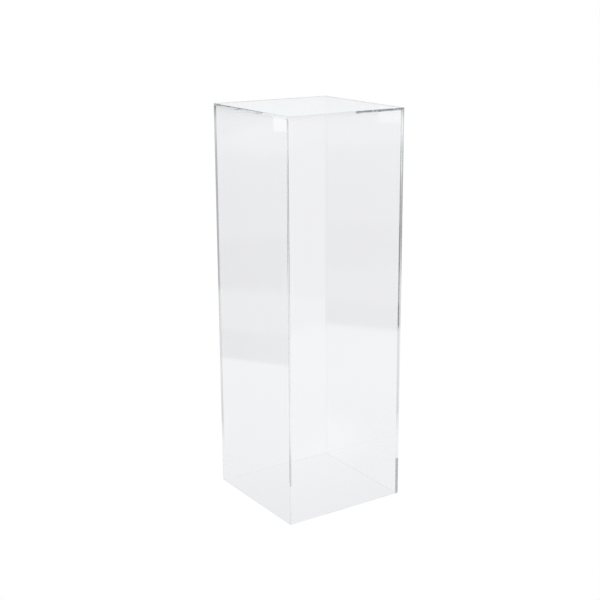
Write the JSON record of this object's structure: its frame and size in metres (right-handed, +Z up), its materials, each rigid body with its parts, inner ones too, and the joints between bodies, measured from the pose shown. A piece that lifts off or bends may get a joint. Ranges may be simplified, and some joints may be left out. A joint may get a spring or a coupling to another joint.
{
  "type": "pedestal display case",
  "caption": "Tall square clear acrylic display pedestal: flush-jointed walls under a flat top sheet, open underneath.",
  "frame": {"origin": "middle of the footprint, on the plane that the rim of the walls stands on", "axes": "+Z up along the case's height, -Y out of the front wall, +X towards the right wall"},
  "size_m": [0.3048, 0.3048, 0.9144],
  "materials": {
    "clear_acrylic": "polished"
  },
  "bodies": {
    "root": {"top_sheet": "clear_acrylic", "left_wall": "clear_acrylic", "right_wall": "clear_acrylic", "front_wall": "clear_acrylic", "back_wall": "clear_acrylic"}
  },
  "joints": []
}
